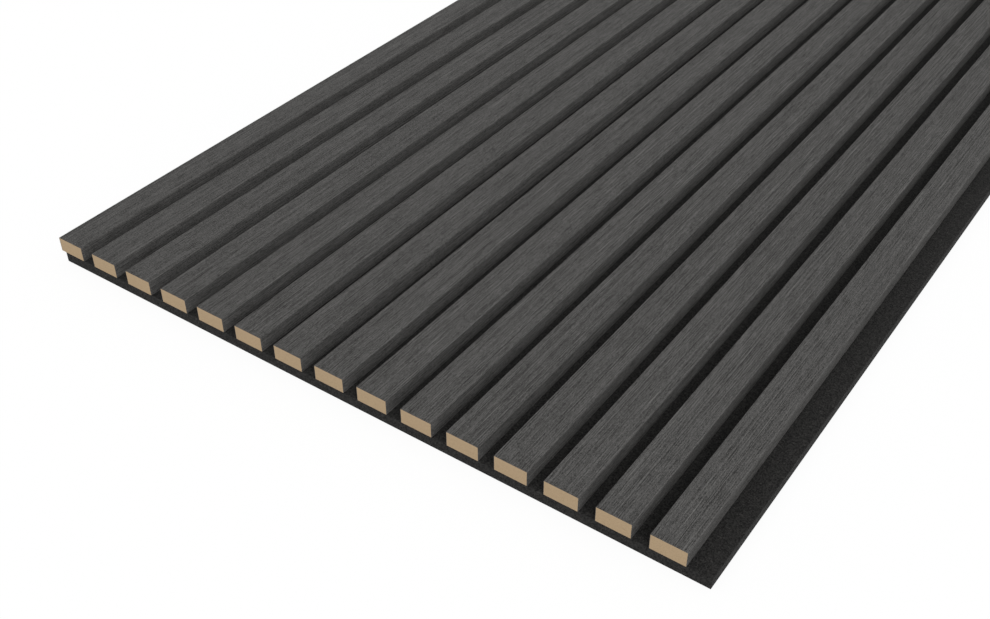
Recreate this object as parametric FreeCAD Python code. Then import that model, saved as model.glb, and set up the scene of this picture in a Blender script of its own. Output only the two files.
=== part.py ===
import FreeCAD, Part
import math
import os

# Acoustic slat wall panel, lying on its back with the slats up.
# The slats run along Y and stand side by side along X. Z rises from the felt's wall face.
# The origin is the middle of the panel's outline, on the wall face.

# Driving dimensions, in millimetres

# Layout of the slats
panel_length = 2400.0
slat_count = 15
slat_gap = 13.0
slat_overhang = 5.0          # how far the first slat reaches past the felt, over the next panel's ledge

# One slat, measured over its veneer
slat_width = 27.0
slat_height = 13.0
veneer_thickness = 0.3
core_edge_radius = 0.1       # eased long edges of the core, which the veneer is folded over

# Felt
felt_thickness = 9.0

# Staples, driven from the wall face through the felt into the cores
staple_crown = 12.8          # length over both legs, along the slat
staple_wire_width = 0.95     # across the slat
staple_wire_thickness = 0.65
staple_sink = 0.5            # depth of the crown's back below the wall face
staple_cover = 5.2           # core left between the points and the veneer
staple_point = 1.0           # length of the chisel points
staple_end_margin = 100.0    # from a slat's end to the middle of its first staple
staple_max_spacing = 750.0

# Places that follow from them
slat_pitch = slat_width + slat_gap
module_width = slat_count * slat_pitch
overall_width = slat_overhang + module_width
slat_left_edge = -overall_width / 2
felt_left_edge = slat_left_edge + slat_overhang
near_end = -panel_length / 2
slat_seat = felt_thickness

core_width = slat_width - 2 * veneer_thickness
core_height = slat_height - veneer_thickness
veneer_edge_radius = core_edge_radius + veneer_thickness
staple_tip = slat_seat + core_height - staple_cover

PARTS_FOLDER = "parts"
ALONG_SLAT = FreeCAD.Vector(0, 1, 0)
ACROSS_SLAT = FreeCAD.Vector(1, 0, 0)


def rounded_top(width, height, radius):
    """Edges of a slat's outline, from its lower left over the top to its lower right.
    The outline is open at the bottom, centred on X and stands on Z = 0."""
    half = width / 2
    shoulder = height - radius
    bulge = radius * math.sqrt(0.5)

    def point(x, z):
        return FreeCAD.Vector(x, 0, z)

    def corner(side):
        centre_x = side * (half - radius)
        on_side = point(side * half, shoulder)
        between = point(centre_x + side * bulge, shoulder + bulge)
        on_top = point(centre_x, height)
        return on_side, between, on_top

    left_side, left_between, left_top = corner(-1)
    right_side, right_between, right_top = corner(1)
    return [
        Part.makeLine(point(-half, 0), left_side),
        Part.Arc(left_side, left_between, left_top).toShape(),
        Part.makeLine(left_top, right_top),
        Part.Arc(right_top, right_between, right_side).toShape(),
        Part.makeLine(right_side, point(half, 0)),
    ]


def feet(outline):
    """Lower left and lower right point of an open outline."""
    return outline[0].Vertexes[0].Point, outline[-1].Vertexes[-1].Point


def bar(outline):
    """Straight bar as long as the panel, from a closed outline, standing on the felt."""
    section = Part.Face(Part.Wire(outline))
    section.translate(FreeCAD.Vector(0, near_end, slat_seat))
    return section.extrude(ALONG_SLAT * panel_length)


def core_bar():
    """Fibreboard core of one slat, centred on X."""
    outline = rounded_top(core_width, core_height, core_edge_radius)
    left, right = feet(outline)
    return bar(outline + [Part.makeLine(right, left)])


def veneer_wrap():
    """Veneer of one slat: a strip folded over the core's top and both of its sides."""
    outer = rounded_top(slat_width, slat_height, veneer_edge_radius)
    inner = rounded_top(core_width, core_height, core_edge_radius)
    outer_left, outer_right = feet(outer)
    inner_left, inner_right = feet(inner)
    right_edge = Part.makeLine(outer_right, inner_right)
    left_edge = Part.makeLine(inner_left, outer_left)
    return bar(outer + [right_edge] + inner[::-1] + [left_edge])


def staple_form(back):
    """Staple centred on X and Y, with the back of its crown at Z = back and its points in the core."""
    outside = staple_crown / 2
    inside = outside - staple_wire_thickness
    middle = (outside + inside) / 2
    underside = staple_sink + staple_wire_thickness
    point_base = staple_tip - staple_point
    half_outline = [
        (outside, back),
        (outside, point_base),
        (middle, staple_tip),
        (inside, point_base),
        (inside, underside),
    ]
    outline = half_outline + [(-y, z) for y, z in reversed(half_outline)]
    corners = [FreeCAD.Vector(-staple_wire_width / 2, y, z) for y, z in outline]
    profile = Part.Face(Part.makePolygon(corners + corners[:1]))
    return profile.extrude(ACROSS_SLAT * staple_wire_width)


def staple_rows():
    """Y of each row of staples, evenly spread between the two end margins."""
    run = panel_length - 2 * staple_end_margin
    gaps = max(1, math.ceil(run / staple_max_spacing))
    return [near_end + staple_end_margin + run * row / gaps for row in range(gaps + 1)]


def slat_centres():
    """X of the middle of each slat."""
    return [slat_left_edge + slat_width / 2 + slat_pitch * index for index in range(slat_count)]


def along_slat(form):
    """Copies of a staple's form at every row of one slat, centred on X."""
    return [form.translated(ALONG_SLAT * y) for y in staple_rows()]


def at_slats(forms):
    """Copies of one slat's forms at every slat."""
    return [form.translated(ACROSS_SLAT * x) for x in slat_centres() for form in forms]


def felt_sheet():
    """Felt sheet, as wide as the slats' module, with the dents and holes that the staples press into it."""
    corner = FreeCAD.Vector(felt_left_edge, near_end, 0)
    sheet = Part.makeBox(module_width, panel_length, felt_thickness, corner)
    dent = staple_form(back=0)
    return sheet.cut(at_slats(along_slat(dent)))


def export(shape, node):
    shape.exportStep(os.path.join(PARTS_FOLDER, node + ".step"))


def main():
    os.makedirs(PARTS_FOLDER, exist_ok=True)
    slat_staples = along_slat(staple_form(back=staple_sink))
    core = core_bar().cut(slat_staples)
    veneer = veneer_wrap()
    for number, x in enumerate(slat_centres(), start=1):
        export(core.translated(ACROSS_SLAT * x), f"slat_core_{number:02d}")
        export(veneer.translated(ACROSS_SLAT * x), f"slat_veneer_{number:02d}")
    export(felt_sheet(), "felt_backing")
    export(Part.makeCompound(at_slats(slat_staples)), "staples")


if __name__ == "__main__":
    main()
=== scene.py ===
import math

import bpy
from bpy.props import FloatProperty, FloatVectorProperty, PointerProperty
from bpy.types import Operator, Panel, PropertyGroup
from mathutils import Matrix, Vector


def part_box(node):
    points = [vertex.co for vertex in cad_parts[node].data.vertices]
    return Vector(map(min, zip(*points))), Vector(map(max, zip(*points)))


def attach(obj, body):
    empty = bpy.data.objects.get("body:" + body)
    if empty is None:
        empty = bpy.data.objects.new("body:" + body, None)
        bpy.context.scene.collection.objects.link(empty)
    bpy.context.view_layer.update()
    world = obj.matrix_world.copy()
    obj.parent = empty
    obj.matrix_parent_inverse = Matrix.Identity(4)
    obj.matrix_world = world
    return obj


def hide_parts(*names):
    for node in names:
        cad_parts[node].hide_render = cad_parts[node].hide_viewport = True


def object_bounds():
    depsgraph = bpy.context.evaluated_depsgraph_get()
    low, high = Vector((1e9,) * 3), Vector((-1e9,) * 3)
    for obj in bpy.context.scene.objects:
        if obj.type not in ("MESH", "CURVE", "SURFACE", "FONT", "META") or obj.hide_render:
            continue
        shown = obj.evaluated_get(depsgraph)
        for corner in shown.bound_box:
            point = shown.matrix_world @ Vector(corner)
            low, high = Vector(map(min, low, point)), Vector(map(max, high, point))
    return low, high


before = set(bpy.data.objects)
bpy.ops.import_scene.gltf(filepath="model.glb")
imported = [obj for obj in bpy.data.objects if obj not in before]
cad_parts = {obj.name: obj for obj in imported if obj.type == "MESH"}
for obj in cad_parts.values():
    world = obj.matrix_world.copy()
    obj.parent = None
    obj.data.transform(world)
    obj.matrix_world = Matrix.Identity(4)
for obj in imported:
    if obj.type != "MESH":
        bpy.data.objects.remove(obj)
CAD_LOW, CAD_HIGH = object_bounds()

# Acoustic slat wall panel, lying on its back with the slats up.
# The slats run along Y and stand side by side along X, and the felt's wall face is at Z = 0.
# Blender's lengths are metres. The finishes are drawn in millimetres.

bl_info = {
    "name": "Acoustic Slat Panel",
    "version": (1, 0, 0),
    "blender": (4, 5, 0),
    "location": "View3D > Sidebar > Slat Panel",
    "description": "Finishes an acoustic slat wall panel and sets it on a studio floor",
    "category": "Object",
}

BODY = "root"
MM = 0.001


# Places read from the frame

def nodes_named(prefix):
    """Names of the frame's nodes that start with a prefix, in order."""
    return sorted(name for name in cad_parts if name.startswith(prefix))


def spans(values, least_gap):
    """Lowest and highest value of each group, where a gap of least_gap or more parts two groups."""
    ordered = sorted(values)
    found = [[ordered[0], ordered[0]]]
    for value in ordered[1:]:
        if value - found[-1][1] >= least_gap:
            found.append([value, value])
        found[-1][1] = value
    return found


VENEERS = nodes_named("slat_veneer_")
CORES = nodes_named("slat_core_")
FELT = "felt_backing"
STAPLES = "staples"

FELT_LOW, FELT_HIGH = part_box(FELT)
STAPLE_LOW, STAPLE_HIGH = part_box(STAPLES)
STAPLE_POINTS = [vertex.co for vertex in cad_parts[STAPLES].data.vertices]
STAPLE_COLUMNS = spans([point.x for point in STAPLE_POINTS], 5 * MM)
STAPLE_ROWS = spans([point.y for point in STAPLE_POINTS], 50 * MM)
STAPLE_CROWN = STAPLE_ROWS[0][1] - STAPLE_ROWS[0][0]
STAPLE_WIDTH = STAPLE_COLUMNS[0][1] - STAPLE_COLUMNS[0][0]


# Sizes and colours that a user would change

def linear(level):
    """Linear value of a screen level from 0 to 255."""
    part = level / 255
    return part / 12.92 if part <= 0.04045 else ((part + 0.055) / 1.055) ** 2.4


def length(name, description, default):
    return FloatProperty(name=name, description=description, default=default, min=0.0, precision=5,
                         unit="LENGTH", subtype="DISTANCE")


def share(name, description, default):
    return FloatProperty(name=name, description=description, default=default, min=0.0, max=1.0,
                         subtype="FACTOR")


def colour(name, description, red, green, blue):
    """Colour property, given in screen levels."""
    levels = (linear(red), linear(green), linear(blue))
    return FloatVectorProperty(name=name, description=description, default=levels, min=0.0, max=1.0,
                               subtype="COLOR")


def angle(name, description, degrees):
    return FloatProperty(name=name, description=description, default=math.radians(degrees),
                         unit="ROTATION", subtype="ANGLE")


class VeneerLook(PropertyGroup):
    """Charcoal veneer that is folded over the slats."""

    dark_streak: colour("Dark Streak", "Colour of the closest grain", 35.4, 35, 34.4)
    pale_streak: colour("Pale Streak", "Colour of the open grain", 106, 105, 103.6)
    pore: colour("Pore", "Colour of the stain that has settled in the pores", 40, 39, 38)
    fleck: colour("Fleck", "Colour of the fine pale hairlines", 122, 121, 119)
    streak_width: length("Streak Width", "Width of one streak", 0.72 * MM)
    streak_run: length("Streak Run", "Length of one streak along the slat", 700 * MM)
    comb_pitch: length("Comb Pitch", "Distance between the even lines in the grain", 2.8 * MM)
    wander: length("Wander", "How far the grain strays to the side", 0.5 * MM)
    roughness: share("Roughness", "Roughness of the lacquer", 0.6)


class FibreboardLook(PropertyGroup):
    """Sawn ends of the slats' cores."""

    board: colour("Board", "Colour of the sawn fibreboard", 165, 143.3, 114.4)
    dark_fibre_and_hollow_shade: colour("Dark Fibre", "Colour of the darkest fibres", 136, 114, 88)
    fibre_size: length("Fibre Size", "Size of one bundle of fibres", 0.5 * MM)


class FeltLook(PropertyGroup):
    """Felt sheet that carries the slats."""

    fibre: colour("Fibre", "Colour of most fibres", 45.9, 45.2, 44.2)
    # Painted shade: the felt's hollows between fibres get this near-black colour, standing in for the shade
    # that falls in them
    dark_fibre_and_hollow_shade: colour("Dark Fibre", "Colour of the hollows between fibres", 12, 12, 12)
    pale_fibre: colour("Pale Fibre", "Colour of the few fibres that took less dye", 68, 66.5, 64.5)
    tuft: length("Tuft", "Size of one tuft of fibres", 1.3 * MM)
    rim: length("Rim", "Rounding of the cut edges", 0.25 * MM)
    dimple_reach: length("Dimple Reach", "How far round a staple the felt is drawn in", 3.2 * MM)


class StapleLook(PropertyGroup):
    """Galvanised staples on the wall face."""

    zinc: colour("Zinc", "Colour of the galvanised wire", 186, 188, 190)
    wire_thickness: length("Wire Thickness", "Thickness of the flat wire", 0.65 * MM)
    bend: length("Bend", "Outer radius where the crown meets a leg", 1.1 * MM)
    point: length("Point", "Length of the chisel points", 1.0 * MM)


class StudioLook(PropertyGroup):
    """Floor, light and camera."""

    fill: share("Fill", "Brightness of the white surroundings", 0.69)
    key: FloatProperty(name="Key", description="Brightness of the soft light beside the camera",
                       default=1.5, min=0.0)
    key_azimuth: angle("Key Azimuth", "Bearing of the soft light, from the near end towards the right", 50)
    key_elevation: angle("Key Elevation", "Height of the soft light above the floor", 40)
    key_spread: angle("Key Spread", "Angular size of the soft light", 30)
    shadow: share("Shadow", "How much of the panel's shadow the floor shows", 0.1)
    camera_azimuth: angle("Camera Azimuth", "Bearing of the camera, from the near end towards the right",
                          35.018)
    camera_elevation: angle("Camera Elevation", "Height of the camera above the slat faces", 38.645)
    camera_distance: length("Camera Distance", "From the camera to the point that it is aimed at", 0.9617)
    aim_inset: length("Aim Inset", "From the near end to the point that the camera is aimed at", 0.12903)
    aim_offset: length("Aim Offset", "From the panel's middle to the point that the camera is aimed at",
                       0.0481)
    lens: FloatProperty(name="Lens", description="Focal length of the camera", default=45.492, min=1.0,
                        unit="CAMERA")


# Shader nodes

class Value:
    """Output of a shader node. Python's arithmetic on numbers adds Math nodes."""

    def __init__(self, shader, socket):
        self.shader = shader
        self.socket = socket

    def output(self, name):
        """Another output of the same node."""
        return Value(self.shader, self.socket.node.outputs[name])

    def operate(self, operation, *terms):
        return self.shader.add("ShaderNodeMath", {"operation": operation}, dict(enumerate(terms)))

    def __add__(self, other):
        return self.operate("ADD", self, other)

    def __sub__(self, other):
        return self.operate("SUBTRACT", self, other)

    def __rsub__(self, other):
        return self.operate("SUBTRACT", other, self)

    def __mul__(self, other):
        return self.operate("MULTIPLY", self, other)

    def __truediv__(self, other):
        return self.operate("DIVIDE", self, other)

    def __abs__(self):
        return self.operate("ABSOLUTE", self)

    def sine(self):
        return self.operate("SINE", self)

    def at_least(self, other):
        return self.operate("MAXIMUM", self, other)

    __radd__ = __add__
    __rmul__ = __mul__


class Shader:
    """Node tree of a material or of the world."""

    def __init__(self, owner):
        owner.use_nodes = True
        self.tree = owner.node_tree
        self.tree.nodes.clear()

    def add(self, kind, settings, sockets, output=0):
        """Adds a node, sets it, gives its sockets their values or links, and returns one of its outputs."""
        node = self.tree.nodes.new(kind)
        for name, value in settings.items():
            setattr(node, name, value)
        for name, value in sockets.items():
            socket = node.inputs[name]
            if isinstance(value, Value):
                self.tree.links.new(value.socket, socket)
            elif socket.type == "RGBA":
                socket.default_value = (*value[:3], 1.0)
            else:
                socket.default_value = value
        return Value(self, node.outputs[output]) if node.outputs else None

    def millimetres(self):
        """Place in the panel's frame, in millimetres."""
        place = self.add("ShaderNodeTexCoord", {}, {}, "Object")
        return self.add("ShaderNodeVectorMath", {"operation": "SCALE"}, {0: place, "Scale": 1 / MM})

    def axes(self, vector):
        x = self.add("ShaderNodeSeparateXYZ", {}, {0: vector}, "X")
        return x, x.output("Y"), x.output("Z")

    def vector(self, x, y, z):
        return self.add("ShaderNodeCombineXYZ", {}, {"X": x, "Y": y, "Z": z})

    def in_units(self, vector, x, y, z):
        """Vector measured in units of a given size along each axis, from a place off the panel's planes."""
        sockets = {0: vector, 1: (1 / x, 1 / y, 1 / z), 2: (0.37, 0.41, 0.43)}
        return self.add("ShaderNodeVectorMath", {"operation": "MULTIPLY_ADD"}, sockets)

    def noise(self, vector, detail=2.0, roughness=0.5):
        """Smooth noise about zero, from about -0.5 to 0.5."""
        sockets = {"Vector": vector, "Scale": 1.0, "Detail": detail, "Roughness": roughness}
        return self.add("ShaderNodeTexNoise", {}, sockets) - 0.5

    def cells(self, vector):
        """Distance to the nearest of a scatter of points, and a number from 0 to 1 that each point has."""
        sockets = {"Vector": vector, "Scale": 1.0}
        distance = self.add("ShaderNodeTexVoronoi", {}, sockets)
        number = self.axes(distance.output("Color"))[0]
        return distance, number

    def ramp(self, value, low, high):
        """Smooth step from 0 at low to 1 at high, which may be the lower one."""
        settings = {"interpolation_type": "SMOOTHSTEP"}
        return self.add("ShaderNodeMapRange", settings, {"Value": value, "From Min": low, "From Max": high})

    def mixed(self, part, first, second):
        """Colour that goes from first to second as part goes from 0 to 1."""
        return self.add("ShaderNodeMix", {"data_type": "RGBA"}, {0: part, 6: first, 7: second}, 2)

    def bump(self, height, depth):
        """Normal of a surface whose height goes from 0 to 1 over a depth in metres."""
        return self.add("ShaderNodeBump", {}, {"Strength": 1.0, "Distance": depth, "Height": height})

    def show(self, shader, kind="ShaderNodeOutputMaterial"):
        self.add(kind, {}, {"Surface": shader})

    def surface(self, **sockets):
        """Principled surface, with its sockets named with underscores for spaces."""
        named = {name.replace("_", " "): value for name, value in sockets.items()}
        self.show(self.add("ShaderNodeBsdfPrincipled", {}, named))


def new_finish(name):
    """New material and its shader."""
    material = bpy.data.materials.new(name)
    return material, Shader(material)


# Finishes

def charcoal_veneer(look):
    material, shader = new_finish("charcoal_veneer")
    place = shader.millimetres()
    x, y, z = shader.axes(place)
    stray = shader.noise(shader.in_units(place, 60.0, 240.0, 60.0), 0.0) * (2 * look.wander / MM)
    # Turned about the slat's length, so that no face lies along the noise's own grid
    turn = 0.6
    across = x + stray + turn * z
    up = z + stray - turn * x
    grain = shader.vector(across, y, up)
    width = look.streak_width / MM
    run = look.streak_run / MM
    pitch = look.comb_pitch / MM
    fine = 0.64 * width

    def marks(wide, long):
        """Straight marks of a given width and length, about zero."""
        return shader.noise(shader.in_units(grain, wide, long, wide), 0.0)

    def staggered(wide, long):
        """Straight lines of a given width and length, about zero, with their ends out of step."""
        slant = 0.6 * (across + up)
        return shader.noise(shader.vector(across / wide, y / long + slant / wide, up / wide), 0.0)

    def comb(apart):
        """Even lines a given distance apart, which waver a little."""
        waver = 0.6 * apart * staggered(2.5 * apart, 0.5 * run)
        return ((x + z + stray + waver) * (2 * math.pi / apart)).sine()

    lines = 0.7 * staggered(fine, run) + 0.03 * comb(pitch) + 0.06 * comb(0.6 * pitch)
    dashes = 0.6 * marks(fine, 14.0) + 0.45 * marks(fine, 3.2)
    grit = marks(fine, 1.6 * width)
    patches = 0.12 * marks(14 * width, 24.0)
    tone = 0.5 + lines + dashes + grit + patches

    seam_near = abs(marks(3.4 * width, 240.0))
    seams = shader.ramp(seam_near, 0.03, 0.0) * shader.ramp(marks(5 * width, 40.0), -0.05, 0.15)
    pore_near, pore_number = shader.cells(shader.in_units(grain, 0.75, 5.5, 0.75))
    pores = shader.ramp(pore_near, 0.4, 0.2) * shader.ramp(pore_number, 0.6, 0.65)
    fleck_near, fleck_number = shader.cells(shader.in_units(grain, 1.6, 80.0, 1.6))
    flecks = shader.ramp(fleck_near, 0.26, 0.12) * shader.ramp(fleck_number, 0.8, 0.83)

    shade = shader.mixed(tone, look.dark_streak, look.pale_streak)
    shade = shader.mixed(0.45 * seams.at_least(pores), shade, look.pore)
    shade = shader.mixed(0.58 * flecks, shade, look.fleck)
    shader.surface(
        Base_Color=shade,
        Roughness=look.roughness - 0.1 * tone,
        Specular_IOR_Level=0.01,
        Normal=shader.bump(tone - pores, 0.03 * MM),
    )
    return material


def sawn_fibreboard(look):
    material, shader = new_finish("sawn_fibreboard")
    place = shader.millimetres()
    size = look.fibre_size / MM
    bundles = shader.noise(shader.in_units(place, size, size, size), 3.0, 0.6)
    layers = shader.noise(shader.in_units(place, 12.0, 12.0, 0.6))
    dark = shader.ramp(bundles + 0.15 * layers, 0.05, -0.35)
    shader.surface(
        Base_Color=shader.mixed(dark, look.board, look.dark_fibre_and_hollow_shade),
        Roughness=0.85 + 0.1 * bundles,
        Specular_IOR_Level=0.2,
        Normal=shader.bump(bundles, 0.08 * MM),
    )
    return material


def dyed_felt(look):
    material, shader = new_finish("dyed_felt")
    place = shader.millimetres()
    tuft = look.tuft / MM
    tufts = shader.noise(shader.in_units(place, tuft, tuft, tuft), 1.0, 0.6)
    strand = 1.6
    clump = 3.4
    strand_near = abs(shader.noise(shader.in_units(place, strand, strand, strand), 1.0))
    strands = shader.ramp(strand_near, 0.07, 0.0)
    undyed = shader.noise(shader.in_units(place, clump, clump, clump))
    pale = shader.ramp(undyed, 0.0, 0.2) * strands
    height = tufts + 0.12 * strands
    # Painted shade: where the bump's height is low, in the hollows between tufts, the colour goes towards
    # the near-black hollow colour
    shade = shader.mixed(shader.ramp(height, 0.28, -0.28), look.fibre, look.dark_fibre_and_hollow_shade)
    shade = shader.mixed(0.6 * pale, shade, look.pale_fibre)
    shader.surface(
        Base_Color=shade,
        Roughness=0.9 + 0.1 * tufts,
        Specular_IOR_Level=0.15,
        Normal=shader.bump(height, 0.8 * MM),
    )
    return material


def galvanised_wire(look):
    material, shader = new_finish("galvanised_wire")
    place = shader.millimetres()
    crystal = 1.5
    spangle = shader.noise(shader.in_units(place, crystal, crystal, crystal), 2.0)
    scratches = shader.noise(shader.in_units(place, 0.12, 2.5, 2.5), 2.0)
    dull = tuple(0.6 * level for level in look.zinc)
    shader.surface(
        Base_Color=shader.mixed(shader.ramp(spangle, 0.1, -0.3), look.zinc, dull),
        Metallic=1.0,
        Roughness=0.38 + 0.3 * spangle + 0.15 * scratches,
        Normal=shader.bump(scratches, 0.02 * MM),
    )
    return material


# Pieces

def add_piece(name, vertices, faces, material, slot, node):
    """New mesh that takes a node's place, in the frame's own metres."""
    mesh = bpy.data.meshes.new(name)
    mesh.from_pydata(vertices, [], faces)
    mesh.validate()
    mesh.shade_smooth()
    mesh.materials.append(material)
    piece = bpy.data.objects.new(name, mesh)
    bpy.context.scene.collection.objects.link(piece)
    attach(piece, BODY)
    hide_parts(node)
    return piece


def wear(node, material):
    """Gives a node that keeps its own form a better finish."""
    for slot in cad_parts[node].material_slots:
        slot.material = material


def both_ways(middle, offsets):
    """Places at each offset below and above a middle."""
    return [middle + side * offset for offset in offsets for side in (-1, 1)]


def felt_lines(low, high, support, middles, offsets):
    """Grid lines across the felt along one axis: both rims, a line beside each, and the staples' lines."""
    lines = [low, low + support, high - support, high]
    for middle in middles:
        lines += [line for line in both_ways(middle, offsets) if low + support < line < high - support]
    return sorted(lines)


def dimple(x, y, reach, depth):
    """How far the wall face is drawn in at a place, by the nearest staple."""
    across = min(abs(x - (low + high) / 2) for low, high in STAPLE_COLUMNS)
    beyond = min(max(low - y, y - high, 0.0) for low, high in STAPLE_ROWS)
    return depth * math.exp(-(across ** 2 + beyond ** 2) / reach ** 2)


def felt_sheet(look):
    """Felt sheet with rounded cut edges, drawn in round each staple on its wall face."""
    rim = look.rim
    reach = look.dimple_reach
    depth = STAPLE_LOW.z - FELT_LOW.z + bpy.context.scene.slat_staples.wire_thickness
    steps = [reach * step for step in (0.15, 0.4, 0.7, 1.0, 1.4, 1.9, 2.5)]
    half_crown = STAPLE_CROWN / 2
    columns = [(low + high) / 2 for low, high in STAPLE_COLUMNS]
    rows = [(low + high) / 2 for low, high in STAPLE_ROWS]
    support = 2 * rim
    xs = felt_lines(FELT_LOW.x + rim, FELT_HIGH.x - rim, support, columns, steps)
    ys = felt_lines(FELT_LOW.y + rim, FELT_HIGH.y - rim, support, rows,
                    [0.5 * half_crown, half_crown] + [half_crown + step for step in steps])
    last_x = len(xs) - 1
    last_y = len(ys) - 1
    vertices = []
    faces = []

    def cap(height, upwards):
        """Grid of one broad face. Returns the indices of its border, counterclockwise from above."""
        start = len(vertices)
        for y in ys:
            vertices.extend((x, y, height(x, y)) for x in xs)
        wide = len(xs)
        for j in range(last_y):
            for i in range(last_x):
                corner = start + j * wide + i
                face = (corner, corner + 1, corner + wide + 1, corner + wide)
                faces.append(face if upwards else face[::-1])
        return [start + j * wide + i for i, j in border]

    def ring(inset, z):
        """Border moved to a given inset from the felt's outline."""
        start = len(vertices)
        for i, j in border:
            x = FELT_LOW.x + inset if i == 0 else FELT_HIGH.x - inset if i == last_x else xs[i]
            y = FELT_LOW.y + inset if j == 0 else FELT_HIGH.y - inset if j == last_y else ys[j]
            vertices.append((x, y, z))
        return list(range(start, len(vertices)))

    border = [(i, 0) for i in range(last_x)] + [(last_x, j) for j in range(last_y)]
    border += [(i, last_y) for i in range(last_x, 0, -1)] + [(0, j) for j in range(last_y, 0, -1)]
    turns = [math.radians(turn) for turn in (22.5, 45.0, 67.5, 90.0)]
    lower = [(rim * (1 - math.sin(turn)), FELT_LOW.z + rim * (1 - math.cos(turn))) for turn in turns]
    upper = [(inset, FELT_LOW.z + FELT_HIGH.z - z) for inset, z in reversed(lower)]
    walls = [(0.0, FELT_LOW.z + rim + support), (0.0, FELT_HIGH.z - rim - support)]
    loops = [cap(lambda x, y: FELT_LOW.z + dimple(x, y, reach, depth), False)]
    loops += [ring(inset, z) for inset, z in lower + walls + upper]
    loops += [cap(lambda x, y: FELT_HIGH.z, True)]
    for under, over in zip(loops, loops[1:]):
        for here in range(len(border)):
            there = (here + 1) % len(border)
            faces.append((under[here], under[there], over[there], over[here]))
    return vertices, faces


def staple(look):
    """One staple of flat wire, centred on X and Y, with the back of its crown towards the wall."""
    half_thick = look.wire_thickness / 2
    half_wide = STAPLE_WIDTH / 2
    leg = STAPLE_CROWN / 2 - half_thick
    back = STAPLE_LOW.z + half_thick
    tip = STAPLE_HIGH.z
    bend = look.bend - half_thick
    edge = 0.3 * half_thick
    section = [
        (half_wide - edge, half_thick), (half_wide, half_thick - edge),
        (half_wide, edge - half_thick), (half_wide - edge, -half_thick),
        (edge - half_wide, -half_thick), (-half_wide, edge - half_thick),
        (-half_wide, half_thick - edge), (edge - half_wide, half_thick),
    ]
    # Stations along half of the wire, from the middle of the crown: place, direction and thickness
    stations = [(0.0, back, 0.0, 1.0), (0.8 * (leg - bend), back, 0.0, 1.0)]
    for step in range(7):
        turn = math.pi / 2 * step / 6
        y = leg - bend + bend * math.sin(turn)
        z = back + bend - bend * math.cos(turn)
        stations.append((y, z, turn, 1.0))
    upright = math.pi / 2
    stations += [(leg, tip - 2 * look.point, upright, 1.0), (leg, tip - look.point, upright, 1.0),
                 (leg, tip, upright, 0.1)]
    whole = [(-y, z, -turn, thick) for y, z, turn, thick in stations[:0:-1]] + stations
    vertices = []
    for y, z, turn, thick in whole:
        for across, out in section:
            vertices.append((across, y - out * thick * math.sin(turn), z + out * thick * math.cos(turn)))
    around = len(section)
    faces = [tuple(range(around)), tuple(reversed(range(len(vertices) - around, len(vertices))))]
    for start in range(0, len(vertices) - around, around):
        for here in range(around):
            there = (here + 1) % around
            faces.append((start + there, start + here, start + around + here, start + around + there))
    return vertices, faces


def copies(vertices, faces, places):
    """One mesh's vertices and faces, repeated at each place."""
    all_vertices = []
    all_faces = []
    for x, y in places:
        start = len(all_vertices)
        all_vertices += [(x + vx, y + vy, vz) for vx, vy, vz in vertices]
        all_faces += [tuple(start + corner for corner in face) for face in faces]
    return all_vertices, all_faces


class FinishVeneer(Operator):
    """Stain the veneer of every slat"""

    bl_idname = "slat_panel.finish_veneer"
    bl_label = "Finish Veneer"

    def execute(self, context):
        material = charcoal_veneer(context.scene.slat_veneer)
        for node in VENEERS:
            wear(node, material)
        return {"FINISHED"}


class FinishCores(Operator):
    """Give the slats' cores their sawn fibreboard"""

    bl_idname = "slat_panel.finish_cores"
    bl_label = "Finish Cores"

    def execute(self, context):
        material = sawn_fibreboard(context.scene.slat_fibreboard)
        for node in CORES:
            wear(node, material)
        return {"FINISHED"}


class LayFelt(Operator):
    """Lay the felt sheet under the slats"""

    bl_idname = "slat_panel.lay_felt"
    bl_label = "Lay Felt"

    def execute(self, context):
        look = context.scene.slat_felt
        add_piece("felt_sheet", *felt_sheet(look), dyed_felt(look), "felt", FELT)
        return {"FINISHED"}


class DriveStaples(Operator):
    """Drive the staples through the felt into the slats"""

    bl_idname = "slat_panel.drive_staples"
    bl_label = "Drive Staples"

    def execute(self, context):
        look = context.scene.slat_staples
        places = [((left + right) / 2, (near + far) / 2)
                  for left, right in STAPLE_COLUMNS for near, far in STAPLE_ROWS]
        form = copies(*staple(look), places)
        add_piece("wire_staples", *form, galvanised_wire(look), "staple_wire", STAPLES)
        return {"FINISHED"}


def seen_directly(shader):
    """1 for rays from the camera and for mirrored and refracted ones, 0 for light that falls on surfaces."""
    path = shader.add("ShaderNodeLightPath", {}, {}, "Is Camera Ray")
    return path.at_least(path.output("Is Glossy Ray")).at_least(path.output("Is Transmission Ray"))


def white_floor(look):
    material, shader = new_finish("white_floor")
    shaded = shader.add("ShaderNodeBsdfDiffuse", {}, {"Color": (1.0, 1.0, 1.0)})
    white = shader.add("ShaderNodeEmission", {}, {"Strength": 1.0})
    part = seen_directly(shader) * (1 - look.shadow)
    shader.show(shader.add("ShaderNodeMixShader", {}, {0: part, 1: shaded, 2: white}))
    return material


def white_surroundings(look):
    world = bpy.data.worlds.new("white_surroundings")
    shader = Shader(world)
    strength = look.fill + (1 - look.fill) * seen_directly(shader)
    white = {"Color": (1.0, 1.0, 1.0), "Strength": strength}
    shader.show(shader.add("ShaderNodeBackground", {}, white), "ShaderNodeOutputWorld")
    return world


def towards(azimuth, elevation):
    """Direction with a bearing, from the near end towards the right, and a height above the floor."""
    flat = math.cos(elevation)
    return Vector((math.sin(azimuth) * flat, -math.cos(azimuth) * flat, math.sin(elevation)))


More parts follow.
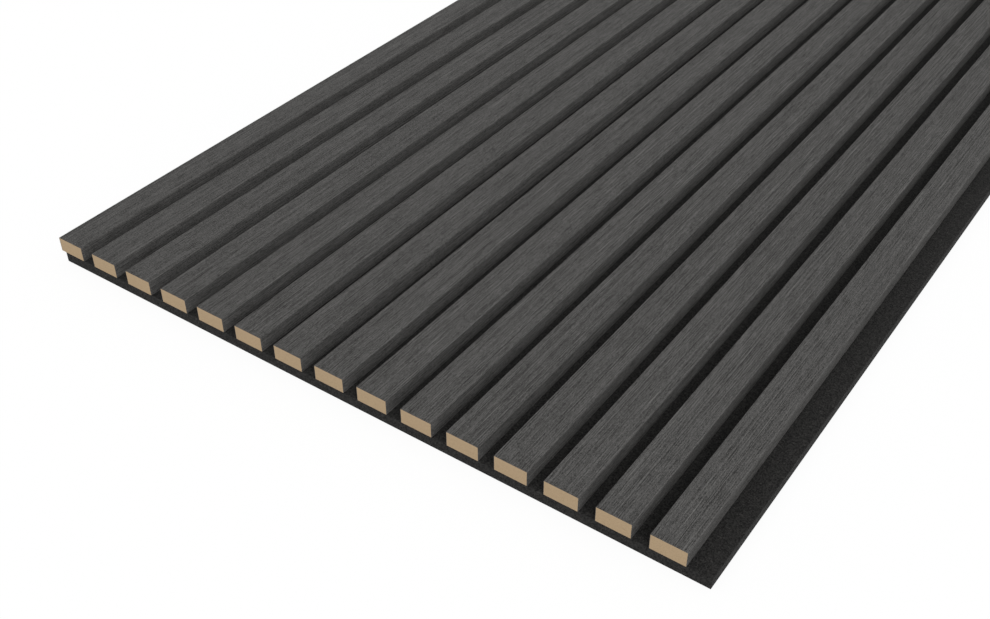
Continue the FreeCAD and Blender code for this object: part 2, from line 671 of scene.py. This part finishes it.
class SetStage(Operator):
    """Set the floor, the light and the camera"""

    bl_idname = "slat_panel.set_stage"
    bl_label = "Set Stage"

    FLOOR_REACH = 40.0
    FLOOR_GAP = 0.05 * MM

    def execute(self, context):
        scene = context.scene
        look = scene.slat_studio
        self.lay_floor(scene, look)
        scene.world = white_surroundings(look)
        self.hang_key(scene, look)
        self.place_camera(scene, look)
        scene.view_settings.view_transform = "Standard"
        return {"FINISHED"}

    def lay_floor(self, scene, look):
        reach = self.FLOOR_REACH
        height = CAD_LOW.z - self.FLOOR_GAP
        corners = [(-reach, -reach, height), (reach, -reach, height),
                   (reach, reach, height), (-reach, reach, height)]
        mesh = bpy.data.meshes.new("studio_floor")
        mesh.from_pydata(corners, [], [(0, 1, 2, 3)])
        mesh.materials.append(white_floor(look))
        floor = bpy.data.objects.new("studio_floor", mesh)
        scene.collection.objects.link(floor)

    def hang_key(self, scene, look):
        lamp = bpy.data.lights.new("soft_key", "SUN")
        lamp.energy = look.key
        lamp.angle = look.key_spread
        key = bpy.data.objects.new("soft_key", lamp)
        direction = towards(look.key_azimuth, look.key_elevation)
        key.rotation_euler = direction.to_track_quat("Z", "Y").to_euler()
        key.location = direction * 3.0
        scene.collection.objects.link(key)

    def place_camera(self, scene, look):
        lens = bpy.data.cameras.new("camera")
        lens.lens = look.lens
        lens.clip_start = 0.01
        lens.clip_end = 200.0
        camera = bpy.data.objects.new("camera", lens)
        aim = Vector((look.aim_offset, CAD_LOW.y + look.aim_inset, CAD_HIGH.z))
        direction = towards(look.camera_azimuth, look.camera_elevation)
        camera.location = aim + direction * look.camera_distance
        camera.rotation_euler = direction.to_track_quat("Z", "Y").to_euler()
        scene.collection.objects.link(camera)
        scene.camera = camera


class SlatPanelSteps(Panel):
    """Steps that finish the slat panel"""

    bl_idname = "VIEW3D_PT_slat_panel"
    bl_label = "Slat Panel"
    bl_space_type = "VIEW_3D"
    bl_region_type = "UI"
    bl_category = "Slat Panel"

    def draw(self, context):
        for operator, group in STEPS:
            box = self.layout.box()
            box.operator(operator.bl_idname)
            settings = getattr(context.scene, group)
            for name in settings.__annotations__:
                box.prop(settings, name)


LOOKS = {
    "slat_veneer": VeneerLook,
    "slat_fibreboard": FibreboardLook,
    "slat_felt": FeltLook,
    "slat_staples": StapleLook,
    "slat_studio": StudioLook,
}
STEPS = [
    (FinishVeneer, "slat_veneer"),
    (FinishCores, "slat_fibreboard"),
    (LayFelt, "slat_felt"),
    (DriveStaples, "slat_staples"),
    (SetStage, "slat_studio"),
]
CLASSES = [*LOOKS.values(), *[operator for operator, _ in STEPS], SlatPanelSteps]


def register():
    for made in CLASSES:
        bpy.utils.register_class(made)
    for name, group in LOOKS.items():
        setattr(bpy.types.Scene, name, PointerProperty(type=group))


def unregister():
    for name in LOOKS:
        delattr(bpy.types.Scene, name)
    for made in reversed(CLASSES):
        bpy.utils.unregister_class(made)


def main():
    register()
    bpy.ops.slat_panel.finish_veneer()
    bpy.ops.slat_panel.finish_cores()
    bpy.ops.slat_panel.lay_felt()
    bpy.ops.slat_panel.drive_staples()
    bpy.ops.slat_panel.set_stage()


if __name__ == "__main__":
    main()
